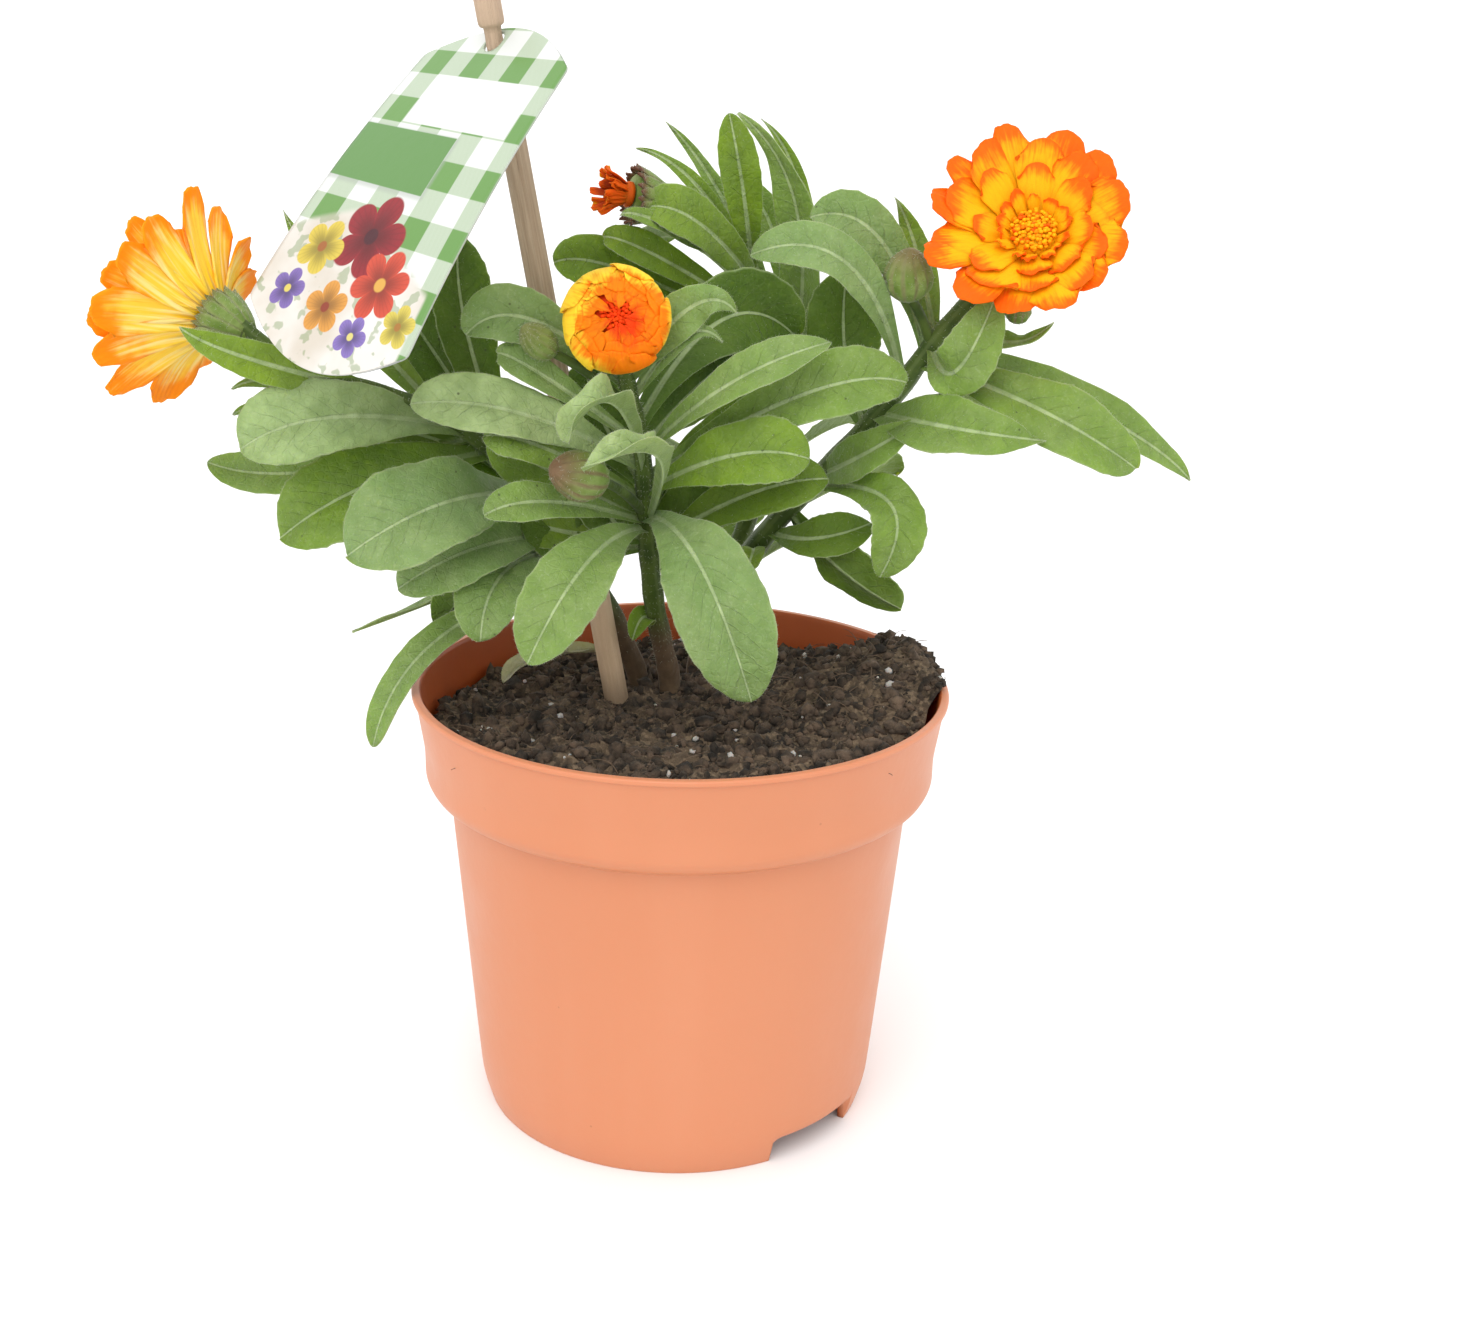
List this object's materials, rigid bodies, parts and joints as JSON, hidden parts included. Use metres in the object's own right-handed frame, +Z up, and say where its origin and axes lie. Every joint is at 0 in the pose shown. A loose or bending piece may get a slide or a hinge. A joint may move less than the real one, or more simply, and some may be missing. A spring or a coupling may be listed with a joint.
{
  "type": "potted calendula",
  "caption": "Flowering calendula in a round tapered nursery pot of peat, with leafy stems, orange blooms and buds, and a wooden stake that carries a bent printed card.",
  "frame": {"origin": "middle of the footprint of the whole object's bounding box, at the foot of the pot", "axes": "+Z up, +X to the viewer's right and -Y towards the viewer who faces the front bloom"},
  "size_m": [0.2552, 0.15, 0.2694],
  "materials": {
    "pot_plastic": "satin, salmon orange",
    "peat": "loose dark peat with white perlite",
    "stake_wood": "bare turned wood",
    "printed_card": "coated, with a green and white check",
    "foliage": "grey-green, finely hairy",
    "petals": "soft matt orange"
  },
  "bodies": {
    "root": {"pot": "pot_plastic", "peat": "peat", "stake": "stake_wood", "card": "printed_card", "shoot_left": "foliage", "shoot_front": "foliage", "shoot_back": "foliage", "shoot_right": "foliage", "bloom_left_petals": "petals", "bloom_front_petals": "petals", "bloom_right_petals": "petals", "opening_bud_petals": "petals"}
  },
  "joints": []
}
